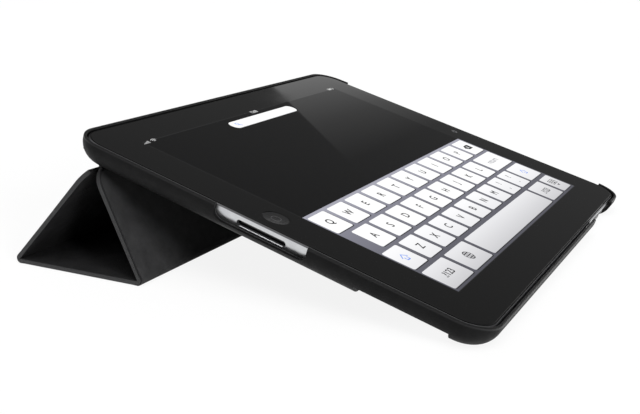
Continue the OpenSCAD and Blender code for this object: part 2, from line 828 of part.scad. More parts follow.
module power_button() color([0.1, 0.1, 0.1]) raised()
    from_x(right_x - key_depth, key_depth - key_skin + key_proud)
        translate([power_v, -key_z]) slot(power_l, key_h);

// ---- What is drawn ----

back_shell();
shell_lining();
spine_anchor();
spine_strip();
panel_1_leather();
panel_1_board();
panel_1_face();
catch_plate();
panel_2_leather();
panel_2_board();
panel_2_face();
panel_3_leather();
panel_3_board();
panel_3_face();
edge_magnets();
wake_magnet();
tablet_housing();
glass_gasket();
touch_glass();
display_panel();
battery_cells();
logic_board();
speaker_module();
dock_connector();
headphone_jack();
microphone();
front_camera();
rear_camera();
home_bracket();
side_key_bracket();
power_bracket();
home_button();
volume_rocker();
mute_switch();
power_button();
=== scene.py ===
"""Looks for a tablet in a hard case whose three-panel cover folds into a typing stand."""
import bpy, bmesh, json
import numpy as np
from math import asin, atan2, cos, degrees, hypot, pi, radians, sin, sqrt, tan
from mathutils import Matrix, Vector


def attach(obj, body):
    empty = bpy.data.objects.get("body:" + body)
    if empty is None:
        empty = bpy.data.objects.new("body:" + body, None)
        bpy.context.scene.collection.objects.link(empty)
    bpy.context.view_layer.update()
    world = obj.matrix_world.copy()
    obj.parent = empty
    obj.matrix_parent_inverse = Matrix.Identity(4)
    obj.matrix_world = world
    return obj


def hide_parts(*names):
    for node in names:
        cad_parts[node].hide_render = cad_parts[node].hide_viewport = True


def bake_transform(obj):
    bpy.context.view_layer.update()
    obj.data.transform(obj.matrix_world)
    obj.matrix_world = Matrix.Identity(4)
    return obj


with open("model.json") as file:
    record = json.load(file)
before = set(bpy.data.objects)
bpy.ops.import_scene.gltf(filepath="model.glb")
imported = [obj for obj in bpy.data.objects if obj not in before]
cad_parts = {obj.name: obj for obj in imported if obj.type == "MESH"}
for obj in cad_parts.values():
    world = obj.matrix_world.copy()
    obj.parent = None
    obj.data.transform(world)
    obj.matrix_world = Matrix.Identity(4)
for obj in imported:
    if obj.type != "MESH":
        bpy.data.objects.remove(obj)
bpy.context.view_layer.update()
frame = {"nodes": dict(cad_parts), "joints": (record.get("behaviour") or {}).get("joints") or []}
NODES = frame["nodes"]
JOINTS = {j["name"]: j for j in frame["joints"]}
MM = 0.001

# ---- Places, worked out from the frame (local units are millimetres) ----

GLASS_UP = -Vector(JOINTS["tablet_lift"]["axis"])
TILT = asin(-GLASS_UP.y)


def section_frame(y, z, angle):
    """Local millimetres to the row frame: Y runs at this angle in the (Y, Z) plane."""
    c, s = cos(angle), sin(angle)
    turn = Matrix(((1, 0, 0, 0), (0, c, -s, 0), (0, s, c, 0), (0, 0, 0, 1)))
    return Matrix.Translation((0, y, z)) @ turn @ Matrix.Scale(MM, 4)


def extent(node, place):
    """Lowest and highest corner of a CAD node in a local frame, in millimetres."""
    back = place.inverted()
    points = [back @ v.co for v in NODES[node].data.vertices]
    return [Vector(f(p[i] for p in points) for i in range(3)) for f in (min, max)]


level = section_frame(0, 0, TILT)
front_low = extent("tablet_housing", level)[0]
glass_top = extent("touch_glass", level)[1]
DEVICE = level @ Matrix.Translation((0, front_low.y, glass_top.z))


def fold(joint):
    at = JOINTS[joint]["pos_m"]
    return Vector((at[1], at[2]))


FOLD_A, FOLD_B = fold("cover_swing"), fold("panel_1_turn")
FOLD_C, FOLD_D = fold("fold_1"), fold("fold_2")


def heading(p, q):
    return atan2(q.y - p.y, q.x - p.x)


def board_heading(node, start):
    """Direction in which a flat board runs away from its fold, from the spread of its corners."""
    co = np.array([[v.co.y, v.co.z] for v in NODES[node].data.vertices])
    middle = co.mean(0)
    axis = np.linalg.svd(co - middle, full_matrices=False)[2][0]
    if axis @ (middle - np.array(start)) < 0:
        axis = -axis
    return atan2(axis[1], axis[0])


# A panel's own frame: Y runs along it from its fold, Z towards its microfibre face
DIR_1, DIR_2 = heading(FOLD_B, FOLD_C), heading(FOLD_C, FOLD_D)
DIR_3 = board_heading("panel_3_board", FOLD_D)
STRIP_DIR = heading(FOLD_A, FOLD_B)
PANEL_1 = section_frame(*FOLD_B, DIR_1)
PANEL_2 = section_frame(*FOLD_C, DIR_2)
PANEL_3 = section_frame(*FOLD_D, DIR_3)
STRIP = section_frame(*FOLD_A, STRIP_DIR)

# DEVICE is the tablet's frame: X along its long side from the middle, Y from the front edge
# to the back, and Z out of the glass, whose face is Z = 0
tablet_low, tablet_high = extent("tablet_housing", DEVICE)
shell_high = extent("back_shell", DEVICE)[1]
glass_low, glass_high = extent("touch_glass", DEVICE)
RIGHT_X = tablet_high.x
TABLET_W = tablet_high.y
TABLET_T = -tablet_low.z
MID_Y = TABLET_W / 2
SHELL_OUT = shell_high.x - RIGHT_X
RIM_RISE = shell_high.z
GLASS_IN = RIGHT_X - glass_high.x
GLASS_T = glass_high.z - glass_low.z

# Sizes that the solids' boxes don't give. The tablet has a corner radius seen from above and
# one round its back edge, whose arc has its centre at the height ARC_Z.
CORNER_R, EDGE_R = 12.0, 7.5
ARC_Z = EDGE_R - TABLET_T
SHELL_T, LINING_T, FIT_GAP = 1.4, 0.4, 0.3
SHELL_IN = FIT_GAP + LINING_T
FACE_T, FACE_STEP, CREASE_GAP = 0.6, 0.7, 0.05

# ---- Mesh tools ----


def new_object(name, mesh, place):
    mesh.transform(place)
    obj = bpy.data.objects.new(name, mesh)
    bpy.context.scene.collection.objects.link(obj)
    return obj


def mesh_from(name, bm):
    mesh = bpy.data.meshes.new(name)
    bm.to_mesh(mesh)
    bm.free()
    return mesh


def from_bmesh(name, bm, place=DEVICE, smooth=35):
    """Object with its normals outward, shaded up to the angle smooth, or left as it is at 0."""
    bmesh.ops.recalc_face_normals(bm, faces=bm.faces)
    obj = new_object(name, mesh_from(name, bm), place)
    if smooth:
        shade(obj, smooth)
    return obj


def shade(obj, angle=35):
    """Smooth shading that keeps sharp edges, with flat faces kept flat."""
    for p in obj.data.polygons:
        p.use_smooth = True
    obj.data.set_sharp_from_angle(angle=radians(angle))
    weigh = obj.modifiers.new("normals", "WEIGHTED_NORMAL")
    weigh.keep_sharp = True
    apply_modifiers(obj)


def loft(bm, rings, caps=True, closed=False):
    """Faces between rings of equal length. closed joins the last ring to the first."""
    rows = [[bm.verts.new(p) for p in ring] for ring in rings]
    pairs = list(zip(rows, rows[1:])) + ([(rows[-1], rows[0])] if closed else [])
    n = len(rows[0])
    for low, high in pairs:
        for i in range(n):
            j = (i + 1) % n
            bm.faces.new((low[i], low[j], high[j], high[i]))
    if caps and not closed:
        bm.faces.new(rows[0])
        bm.faces.new(rows[-1])
    return rows


def circle(x, y, r, n=64):
    return [(x + r * cos(2 * pi * i / n), y + r * sin(2 * pi * i / n)) for i in range(n)]


def plan(x0, x1, y0, y1, r_low, r_high=None, n=8):
    """Rounded rectangle as (x, y) points. r_low rounds the two corners at y0, r_high at y1."""
    r_high = r_low if r_high is None else r_high
    points = []
    for cx, cy, r, start in ((x1 - r_high, y1 - r_high, r_high, 0),
                             (x0 + r_high, y1 - r_high, r_high, 90),
                             (x0 + r_low, y0 + r_low, r_low, 180),
                             (x1 - r_low, y0 + r_low, r_low, 270)):
        for i in range(n + 1):
            a = radians(start + 90 * i / n)
            points.append((cx + r * cos(a), cy + r * sin(a)))
    return points


def outline(grow, n=12):
    """The tablet's outline seen from above, grown outward."""
    return plan(-RIGHT_X - grow, RIGHT_X + grow, -grow, TABLET_W + grow,
                max(CORNER_R + grow, 0.01), n=n)


def at_height(points, z):
    return [(x, y, z) for x, y in points]


def arc(cy, cz, r, a0, a1, n):
    """Points of an arc in a (y, z) plane, from one angle to another in degrees."""
    return [(cy + r * cos(radians(a0 + (a1 - a0) * i / n)),
             cz + r * sin(radians(a0 + (a1 - a0) * i / n))) for i in range(n + 1)]


def cutter(low_ring, high_ring):
    bm = bmesh.new()
    loft(bm, [low_ring, high_ring])
    return from_bmesh("cut", bm, DEVICE, 0)


def cut_with(obj, cutters):
    for c in cutters:
        mod = obj.modifiers.new("cut", "BOOLEAN")
        mod.operation, mod.solver, mod.object = "DIFFERENCE", "EXACT", c
        apply_modifiers(obj)
    for c in cutters:
        bpy.data.objects.remove(c)


def apply_modifiers(obj):
    bpy.context.view_layer.update()
    graph = bpy.context.evaluated_depsgraph_get()
    made = bpy.data.meshes.new_from_object(obj.evaluated_get(graph))
    obj.modifiers.clear()
    old = obj.data
    obj.data = made
    bpy.data.meshes.remove(old)


def finish_piece(obj, body, material, replaces=()):
    obj.data.materials.clear()
    obj.data.materials.append(material)
    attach(obj, body)
    if replaces:
        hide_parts(*replaces)


# ---- Materials ----


def mix_colours(nodes, links, fac, under, color):
    """A colour laid over a node's output. Sockets share names, so identifiers pick them."""
    n = nodes.new("ShaderNodeMix")
    n.data_type = "RGBA"
    sockets = {s.identifier: s for s in n.inputs}
    links.new(fac, sockets["Factor_Float"])
    links.new(under, sockets["A_Color"])
    sockets["B_Color"].default_value = (*color, 1)
    return next(s for s in n.outputs if s.identifier == "Result_Color")


def set_stops(ramp, stops):
    """Stops of a ramp node, as (place, colour). A plain number is a grey."""
    while len(ramp.color_ramp.elements) < len(stops):
        ramp.color_ramp.elements.new(0.5)
    for e, (at, color) in zip(ramp.color_ramp.elements, stops):
        e.position = at
        e.color = (*color, 1) if isinstance(color, tuple) else (color, color, color, 1)


class Paint:
    """A node material with one Principled shader and procedural detail."""

    def __init__(self, name, color, rough, **sockets):
        self.mat = bpy.data.materials.new(name)
        self.mat.use_nodes = True
        self.nodes, self.links = self.mat.node_tree.nodes, self.mat.node_tree.links
        self.shader = self.nodes["Principled BSDF"]
        self.shader.inputs["Base Color"].default_value = (*color, 1)
        self.shader.inputs["Roughness"].default_value = rough
        for key, value in sockets.items():
            label = key.replace("_", " ").title().replace("Ior", "IOR")
            self.shader.inputs[label].default_value = value
        self.coords = self.nodes.new("ShaderNodeTexCoord").outputs["Object"]
        self.height = None

    def node(self, kind, **values):
        """New node. Each value is one of its properties, or else one of its inputs."""
        n = self.nodes.new(kind)
        for key, value in values.items():
            if hasattr(n, key):
                setattr(n, key, value)
            else:
                n.inputs[key].default_value = value
        return n

    def noise(self, scale, detail=4, rough=0.6):
        n = self.node("ShaderNodeTexNoise", Scale=scale, Detail=detail, Roughness=rough)
        self.links.new(self.coords, n.inputs["Vector"])
        return n.outputs["Fac"]

    def cells(self, scale):
        """Distance to the nearest edge of a random cell pattern."""
        n = self.node("ShaderNodeTexVoronoi", feature="DISTANCE_TO_EDGE", Scale=scale,
                      Randomness=1.0)
        self.links.new(self.coords, n.inputs["Vector"])
        return n.outputs["Distance"]

    def ramp(self, fac, stops):
        n = self.nodes.new("ShaderNodeValToRGB")
        set_stops(n, stops)
        self.links.new(fac, n.inputs["Fac"])
        return n.outputs["Color"]

    def mixed(self, fac, under, color):
        """This colour laid over another one, as strongly as the factor says."""
        return mix_colours(self.nodes, self.links, fac, under, color)

    def maths(self, op, a, b):
        n = self.node("ShaderNodeMath", operation=op)
        for i, v in enumerate((a, b)):
            if isinstance(v, (int, float)):
                n.inputs[i].default_value = v
            else:
                self.links.new(v, n.inputs[i])
        return n.outputs["Value"]

    def drive(self, socket, value):
        self.links.new(value, self.shader.inputs[socket])
        return self

    def bump(self, height, distance, strength=1.0):
        n = self.node("ShaderNodeBump", Strength=strength, Distance=distance)
        self.links.new(height, n.inputs["Height"])
        if self.height:
            self.links.new(self.height, n.inputs["Normal"])
        self.height = n.outputs["Normal"]
        self.links.new(self.height, self.shader.inputs["Normal"])
        return self


def leather(name, dark, light, rough, grain=900, depth=0.00012, painted_edge_highlight=None, **sockets):
    """Pebbled leather. The optional edge argument is (where, colour, specular level, roughness): a
    painted highlight, a lighter colour where light falls on an edge, with a glossier finish.
    """
    p = Paint(name, dark, rough, **sockets)
    cells = p.cells(grain)
    pebble = p.ramp(cells, ((0.0, 0.0), (0.22, 0.8), (0.6, 1.0)))
    soft = p.noise(grain / 14, 5)
    tint = p.ramp(soft, ((0.3, dark), (0.7, light)))
    shine = p.ramp(p.noise(grain / 5), ((0.3, rough - 0.07), (0.7, rough + 0.08)))
    if painted_edge_highlight:
        where, colour, specular, smooth = painted_edge_highlight
        fac = where(p)
        flat = p.shader.inputs["Specular IOR Level"].default_value
        p.drive("Specular IOR Level", p.ramp(fac, ((0.0, flat), (1.0, specular))))
        tint = p.mixed(fac, tint, colour)
        shine = p.mixed(fac, shine, grey(smooth))
    p.drive("Base Color", tint)
    p.drive("Roughness", shine)
    p.bump(pebble, depth).bump(p.noise(grain * 2.5), depth / 3)
    return p.mat


def side_highlight_mask(p):
    """1 where the surface faces along the fold lines, as on a panel's turned side edges. It places
    the leather's painted highlight, set by the way a face turns.
    """
    split = p.node("ShaderNodeSeparateXYZ")
    p.links.new(p.nodes["Texture Coordinate"].outputs["Normal"], split.inputs["Vector"])
    return p.ramp(p.maths("ABSOLUTE", split.outputs["X"], 0.0), ((0.35, 0.0), (0.8, 1.0)))


def rim_highlight_mask(p):
    """1 on the shell's rim, falling to 0 a little below the glass. It places the rim's painted
    highlight.
    """
    dot = p.node("ShaderNodeVectorMath", operation="DOT_PRODUCT")
    p.links.new(p.coords, dot.inputs[0])
    dot.inputs[1].default_value = GLASS_UP
    above = p.maths("SUBTRACT", dot.outputs["Value"], DEVICE.translation.dot(GLASS_UP))
    climb = p.maths("ADD", above, RIM_LOW * MM)
    return p.ramp(p.maths("DIVIDE", climb, (RIM_LOW - RIM_HIGH) * MM), ((0.0, 0.0), (1.0, 1.0)))


def cloth(name, dark, light, rough=0.95, grain=2600, depth=0.00006, **sockets):
    """Napped cloth, mottled by the way its hairs lie."""
    p = Paint(name, dark, rough, **sockets)
    shine = ((0.3, rough - 0.05), (0.7, min(1, rough + 0.05)))
    p.drive("Base Color", p.ramp(p.noise(grain / 30, 6, 0.7), ((0.3, dark), (0.7, light))))
    p.drive("Roughness", p.ramp(p.noise(grain / 6), shine))
    p.bump(p.noise(grain, 8, 0.8), depth).bump(p.noise(grain / 7, 3), depth)
    return p.mat


def moulded(name, dark, light, rough, grain=4200, depth=0.00002, **sockets):
    """Hard material with a fine, faintly uneven surface."""
    p = Paint(name, dark, rough, **sockets)
    p.drive("Base Color", p.ramp(p.noise(grain / 60, 4), ((0.35, dark), (0.65, light))))
    p.drive("Roughness", p.ramp(p.noise(grain / 12, 5), ((0.3, rough - 0.05), (0.7, rough + 0.06))))
    p.bump(p.noise(grain, 3), depth)
    return p.mat


def grey(v):
    """Dark neutral, a touch towards blue."""
    return (v, v, v * 1.03)


# The rim's painted highlight, a lighter colour with a glossier finish, starts RIM_LOW mm below the
# glass and is full at RIM_HIGH mm below it
RIM_LOW, RIM_HIGH = 0.9, 0.2
SHELL = leather("case_shell_paint", grey(0.0035), grey(0.0055), 0.5, grain=1500, depth=0.00005,
                painted_edge_highlight=(rim_highlight_mask, grey(0.008), 0.3, 0.36), specular_ior_level=0.1)
# The cover's side edges, picked by the way they face, are painted lighter as a highlight, with a
# glossier finish.
LEATHER = leather("cover_leather_paint", grey(0.012), grey(0.019), 0.5, grain=1000, depth=0.00012,
                  painted_edge_highlight=(side_highlight_mask, grey(0.026), 0.3, 0.5), specular_ior_level=0.1)
SUEDE = cloth("microfibre_paint", grey(0.014), grey(0.030), sheen_weight=0.05, sheen_roughness=0.5,
              specular_ior_level=0.1)
LINING = cloth("case_lining_paint", grey(0.02), grey(0.03), sheen_weight=0.2)
ALUMINIUM = moulded("housing_paint", (0.60, 0.61, 0.63), (0.66, 0.67, 0.68), 0.4, grain=9000,
                    depth=0.000003, metallic=1.0)
# The dock slot's lower edge is drawn light grey, not metal: a painted highlight.
DOCK_HIGHLIGHT_PAINT = moulded("dock_highlight_paint", (0.72, 0.73, 0.75), (0.80, 0.81, 0.83), 0.4, grain=9000,
                    depth=0.0)
# The chamfer's metal is darker than the housing's: painted shade for the narrow gap under the
# case's rim where it lies.
SHADED_CHAMFER_METAL = moulded("chamfer_paint", (0.28, 0.28, 0.29), (0.32, 0.32, 0.33), 0.35, grain=600,
                 depth=0.0, metallic=1.0)
GLASS = moulded("glass_paint", grey(0.0012), grey(0.0018), 0.02, grain=260, depth=0.0,
                ior=1.5)
HOME_PAINT = moulded("home_button_paint", grey(0.010), grey(0.014), 0.22, ior=1.5)
RING_PAINT = moulded("home_ring_paint", grey(0.05), grey(0.07), 0.4)
GASKET = moulded("gasket_paint", grey(0.006), grey(0.01), 0.6)
BLACK = moulded("black_plastic_paint", grey(0.012), grey(0.02), 0.45)
KEY = moulded("side_key_paint", grey(0.02), grey(0.03), 0.38)
LENS = moulded("lens_paint", (0.004, 0.006, 0.012), (0.008, 0.01, 0.02), 0.05, depth=0.0, ior=1.6)
STEEL = moulded("steel_paint", grey(0.5), grey(0.6), 0.3, metallic=1.0)
MAGNET = moulded("magnet_paint", grey(0.55), grey(0.62), 0.25, metallic=1.0)
BOARD = moulded("board_paint", (0.16, 0.13, 0.10), (0.2, 0.17, 0.13), 0.8, grain=3000)
CIRCUIT = moulded("circuit_paint", (0.01, 0.07, 0.03), (0.015, 0.09, 0.04), 0.4, grain=2500)
CELL = moulded("battery_paint", grey(0.04), grey(0.06), 0.5)
PANEL = moulded("display_paint", grey(0.02), grey(0.03), 0.3)
CARRIED = {
    "tablet_housing": ALUMINIUM, "display_panel": PANEL, "battery_cells": CELL,
    "logic_board": CIRCUIT, "speaker_module": BLACK, "dock_connector": BLACK,
    "headphone_jack": BLACK, "microphone": STEEL, "front_camera": LENS, "rear_camera": LENS,
    "home_bracket": STEEL, "side_key_bracket": STEEL, "power_bracket": STEEL,
    "volume_rocker": KEY, "mute_switch": KEY, "power_button": KEY, "panel_1_board": BOARD,
    "panel_2_board": BOARD, "panel_3_board": BOARD, "catch_plate": STEEL,
    "edge_magnets": MAGNET, "wake_magnet": MAGNET,
}
for node, paint in CARRIED.items():
    mesh = NODES[node].data
    if not mesh.materials:
        mesh.materials.append(paint)
    for i in range(len(mesh.materials)):
        mesh.materials[i] = paint

# ---- Case shell and lining ----

# Openings: dock notch and slot on the left end, long notch on the right end, key notch in the
# front edge, speaker opening at the left corner and camera opening at the right one
DOCK_CUT_HALF, DOCK_CUT_Z, DOCK_CUT_R = 21.0, 6.8, 4.0
DOCK_SLOT_LOW, DOCK_SLOT_HALF = -5.3, 9.8
END_CUT_FROM, END_CUT_BACK, END_CUT_Z, CUT_R = 10.0, 17.2, 7.2, 3.0
KEYS_CUT_U, KEYS_CUT_HALF, KEYS_CUT_DEPTH = 44.2, 21.0, 6.0
SOUND_CUT_U, SOUND_CUT_FROM, SOUND_CUT_TO, SOUND_CUT_Z = 17.0, 12.7, 51.0, 6.9
CAMERA_IN, CAMERA_CUT_R = 17.0, 9.0
# Groove for the cover's leather (depth, and half its width in degrees round the back edge)
GROOVE_T, GROOVE_HALF, NECK_T = 0.6, 20.0, 0.9
RIM_SHARE = 0.46  # radius of the rim's two rounds, as a share of the wall
LINING_DROP = 3.0
FAR = 40.0  # beyond everything, for the cutting shapes
BACK_ARC = (TABLET_W - EDGE_R, ARC_Z)
SHELL_R = EDGE_R + SHELL_OUT
device_fold_a = DEVICE.inverted() @ Vector((0, *FOLD_A))
ANCHOR_ANGLE = degrees(atan2(device_fold_a.z - BACK_ARC[1], device_fold_a.y - BACK_ARC[0]))
COVER_HALF = extent("panel_2_leather", PANEL_2)[1].x
STRIP_HALF = extent("spine_strip", STRIP)[1].x


def across(section, half):
    """Solid with a (y, z) section that is the same all along X."""
    bm = bmesh.new()
    loft(bm, [[(x, y, z) for y, z in section] for x in (-half, half)])
    return bm


def openings():
    """Fresh cutting shapes for every opening in the case."""
    made = []
    ends = ((-1, MID_Y - DOCK_CUT_HALF, MID_Y + DOCK_CUT_HALF, -DOCK_CUT_Z, DOCK_CUT_R),
            (1, END_CUT_FROM, TABLET_W - END_CUT_BACK, -END_CUT_Z, CUT_R))
    for side, y0, y1, low, r in ends:
        ring = plan(y0, y1, low, FAR, r)
        xs = sorted((side * (RIGHT_X - EDGE_R), side * (RIGHT_X + FAR)))
        made.append(cutter(*[[(x, y, z) for y, z in ring] for x in xs]))
    keys = plan(RIGHT_X - KEYS_CUT_U - KEYS_CUT_HALF, RIGHT_X - KEYS_CUT_U + KEYS_CUT_HALF,
                -FAR, KEYS_CUT_DEPTH, CUT_R)
    made.append(cutter(at_height(keys, -FAR), at_height(keys, FAR)))
    sound = plan(-RIGHT_X - FAR, -RIGHT_X + SOUND_CUT_U, SOUND_CUT_FROM, SOUND_CUT_TO, CUT_R)
    made.append(cutter(at_height(sound, -FAR), at_height(sound, -SOUND_CUT_Z)))
    hole = circle(RIGHT_X - CAMERA_IN, CAMERA_IN, CAMERA_CUT_R)
    made.append(cutter(at_height(hole, -FAR), at_height(hole, -TABLET_T + 1)))
    return made


def swept(name, section):
    """Section of (growth, height) points carried round the tablet's outline, still unshaded."""
    bm = bmesh.new()
    loft(bm, [at_height(outline(g), z) for g, z in section])
    return from_bmesh(name, bm, DEVICE, 0)


def case_shell():
    """Tray with a round rim, swept round the tablet's outline, less its openings."""
    rim_r = SHELL_T * RIM_SHARE
    section = (arc(-EDGE_R, ARC_Z, EDGE_R + SHELL_IN, -90, 0, 14)
               + arc(SHELL_IN + rim_r, RIM_RISE - rim_r, rim_r, 180, 90, 5)
               + arc(SHELL_OUT - rim_r, RIM_RISE - rim_r, rim_r, 90, 0, 5)
               + arc(-EDGE_R, ARC_Z, SHELL_R, 0, -90, 20))
    body = swept("case_shell", section)
    inner, outer = SHELL_R - GROOVE_T, SHELL_R + 1
    ends = ANCHOR_ANGLE - GROOVE_HALF, ANCHOR_ANGLE + GROOVE_HALF
    groove = arc(*BACK_ARC, inner, *ends, 12) + arc(*BACK_ARC, outer, *reversed(ends), 12)
    cut_with(body, openings() + [from_bmesh("groove", across(groove, STRIP_HALF), DEVICE, 0)])
    shade(body)
    finish_piece(body, "case", SHELL, ["back_shell"])


def case_lining():
    """Skin inside the tray, up to LINING_DROP below the glass, less the same openings."""
    inner, outer = EDGE_R + FIT_GAP, EDGE_R + SHELL_IN - 0.01
    top_in, top_out = (-degrees(asin((LINING_DROP + ARC_Z) / r)) for r in (inner, outer))
    body = swept("case_lining", arc(-EDGE_R, ARC_Z, inner, -90, top_in, 14)
                 + arc(-EDGE_R, ARC_Z, outer, top_out, -90, 14))
    cut_with(body, openings())
    shade(body)
    finish_piece(body, "case", LINING, ["shell_lining"])


case_shell()
case_lining()

# ---- Cover: spine ----

ROLL_R, STRIP_T = 0.9, 1.2
HUG = 0.03  # between a roll and the leather that lies round it
GLUE = 0.02  # between the groove's floor and the leather in it


def spine():
    """Leather glued into the case's groove, the strip, and the neck of panel 1."""
    r, a = SHELL_R, ANCHOR_ANGLE
    at_a = (device_fold_a.y, device_fold_a.z)
    reach = hypot(at_a[0] - BACK_ARC[0], at_a[1] - BACK_ARC[1])
    glued = arc(*BACK_ARC, r - GROOVE_T + GLUE, a - GROOVE_HALF + 0.3, a + GROOVE_HALF - 0.3, 16)
    c, s = cos(radians(a)), sin(radians(a))

    def beside(d, off):
        """Point at a distance from the back edge's centre, to one side of the fold's line."""
        return (BACK_ARC[0] + d * c - off * s, BACK_ARC[1] + d * s + off * c)

    # Distance from the arc's centre, and half the thickness, where the leather leaves the case
    flare = [(r + 0.02, 1.3), (r + 0.12, 0.85), (r + 0.4, 0.55), (reach - 0.6, 0.45)]
    upper = arc(*BACK_ARC, r - 0.04, a + GROOVE_HALF - 1.2, a + 9, 6)
    lower = arc(*BACK_ARC, r - 0.04, a - 9, a - GROOVE_HALF + 1.2, 6)
    section = (glued + upper + [beside(d, o) for d, o in flare]
               + arc(*at_a, ROLL_R, a + 140, a - 140, 18)
               + [beside(d, -o) for d, o in reversed(flare)] + lower)
    anchor = from_bmesh("spine_anchor_leather", across(section, STRIP_HALF))
    finish_piece(anchor, "case", LEATHER, ["spine_anchor"])

    length = (FOLD_B - FOLD_A).length / MM
    t = STRIP_T / 2
    hug = arc(0, 0, ROLL_R + HUG, -38, 38, 8)
    section = (hug[::-1] + [(ROLL_R + 0.35, -t + 0.05), (ROLL_R + 0.6, -t)]
               + arc(length, 0, ROLL_R, -138, 138, 18)
               + [(ROLL_R + 0.6, t), (ROLL_R + 0.35, t - 0.05)])
    strip = from_bmesh("spine_strip_leather", across(section, STRIP_HALF), STRIP)
    finish_piece(strip, "spine", LEATHER, ["spine_strip"])

    start = extent("panel_1_leather", PANEL_1)[0].y
    hug = arc(0, 0, ROLL_R + HUG, -28, 28, 6)
    section = hug[::-1] + [(start + 1, -NECK_T / 2), (start + 1, NECK_T / 2)]
    neck = from_bmesh("panel_1_neck_leather", across(section, STRIP_HALF), PANEL_1)
    finish_piece(neck, "panel_1", LEATHER)


spine()

# ---- Cover: panels ----

HALF_T = extent("panel_2_face", PANEL_2)[1].z
FACE_Z = HALF_T - FACE_T
LIP_Z = HALF_T - 0.2
FACE_IN = FACE_STEP + 0.22  # from the cover's edge to the visible edge of the microfibre
COVER_CORNER_R = 9.0
# Outer radii of the rolled folds, their thickness, and how far the ends reach and dip
# under the panels
ROLL_C, ROLL_D, ROLL_T = 2.6, 2.7, 0.75
TUCK, TUCK_DIP = 1.2, 0.06


def unit(angle):
    return Vector((cos(angle), sin(angle)))


def roll_place(dir_a, dir_b, radius):
    """A fold's turn, its distance to the roll's centre, and that to the roll's ends."""
    turn = (dir_b - dir_a + pi) % (2 * pi) - pi
    inside = pi - abs(turn)
    back = (radius - HALF_T) / sin(inside / 2)
    return turn, back, back * cos(inside / 2)


def fold_end(dir_a, dir_b, radius):
    """How far a panel stands back from a fold at each height, and where its roll starts.

    The leather sides meet in a mitre, and above it the panels leave room for the roll."""
    turn, back, reach = roll_place(dir_a, dir_b, radius)
    half_angle = (pi - abs(turn)) / 2
    room = radius - ROLL_T - 0.02

    def stand_back(z):
        rise = z + back * sin(half_angle)
        under_roll = reach - (sqrt(room ** 2 - rise ** 2) if abs(rise) < room else 0)
        return max(max(0.0, -z) / tan(half_angle) + CREASE_GAP, under_roll)

    return stand_back, reach


def panel_plan(half, y0, y1, big_low, big_high, small=0.03, n=8):
    """Outline of a panel. A big corner is measured from the place given, so that insets
    don't move its centre. At None the corner is small."""
    points = []
    for side in (1, -1):
        corners = []
        for high in (True, False):
            big = big_high if high else big_low
            if big is not None:
                middle = COVER_HALF - COVER_CORNER_R
                r = half - middle
                cy = (big - COVER_CORNER_R) if high else big + COVER_CORNER_R
                edge = y1 if high else y0
                stop = degrees(asin(max(-1, min(1, abs(edge - cy) / r))))
                cx = middle
            else:
                r, stop = small, 90
                cx, cy = half - small, (y1 - small if high else y0 + small)
            angles = [stop * i / n for i in range(n + 1)]
            if high:
                corner = [(side * (cx + r * cos(radians(a))), cy + r * sin(radians(a)))
                          for a in angles]
            else:
                corner = [(side * (cx + r * cos(radians(a))), cy - r * sin(radians(a)))
                          for a in reversed(angles)]
            corners.append(corner)
        high_corner, low_corner = corners
        points += (low_corner + high_corner) if side == 1 \
            else (high_corner[::-1] + low_corner[::-1])
    return points


def panel(name, body, place, y0, y1, fold_low, fold_high, corner_low, corner_high, nodes):
    """Leather outside with a turned lip, and a microfibre face let into it.

    A fold is what fold_end gives for it, or None.
    A corner is the place that its round corner is measured from, or None."""
    # (height, step in from the side) up the side, round the lip and down to the face's seat,
    # with rows every 0.1 mm where the panel's end follows the roll of a fold
    slope = [(-HALF_T, 0.42), (-HALF_T + 0.04, 0.25), (-HALF_T + 0.14, 0.1), (-HALF_T + 0.3, 0.03),
             *((z / 10, 0.0) for z in range(-7, 6)), (FACE_Z, 0.0), (LIP_Z - 0.25, 0.0),
             (LIP_Z - 0.1, 0.05), (LIP_Z - 0.02, 0.15), (LIP_Z, 0.28), (LIP_Z - 0.03, 0.45),
             (LIP_Z - 0.12, 0.58), (LIP_Z - 0.3, 0.66), (FACE_Z, 0.68), (FACE_Z, 1.2)]

    def inset(fold, z, side):
        return side if fold is None else fold[0](z)

    def ring(side, z, low, high):
        """Outline at a height. At a fold the lip is left out, so that the roll lies flush."""
        points = panel_plan(COVER_HALF - side, y0 + low, y1 - high, corner_low, corner_high)
        flat = min(z, FACE_Z)
        return [(x, y, flat if (fold_low and y < y0 + low + 0.2)
                 or (fold_high and y > y1 - high - 0.2) else z) for x, y in points]

    bm = bmesh.new()
    loft(bm, [ring(side, z, inset(fold_low, z, side), inset(fold_high, z, side))
              for z, side in slope])
    leather_piece = from_bmesh(name + "_leather_skin", bm, place, 40)
    finish_piece(leather_piece, body, LEATHER, nodes[:1])
    rings = [(FACE_Z, 0.0), (HALF_T - 0.2, 0.0), (HALF_T - 0.07, 0.05), (HALF_T, 0.2)]
    bm = bmesh.new()
    loft(bm, [at_height(panel_plan(COVER_HALF - FACE_IN - s,
                                   y0 + (fold_low[1] if fold_low else FACE_IN + s),
                                   y1 - (fold_high[1] if fold_high else FACE_IN + s),
                                   corner_low, corner_high), z) for z, s in rings])
    face = from_bmesh(name + "_microfibre", bm, place, 40)
    finish_piece(face, body, SUEDE, nodes[1:])


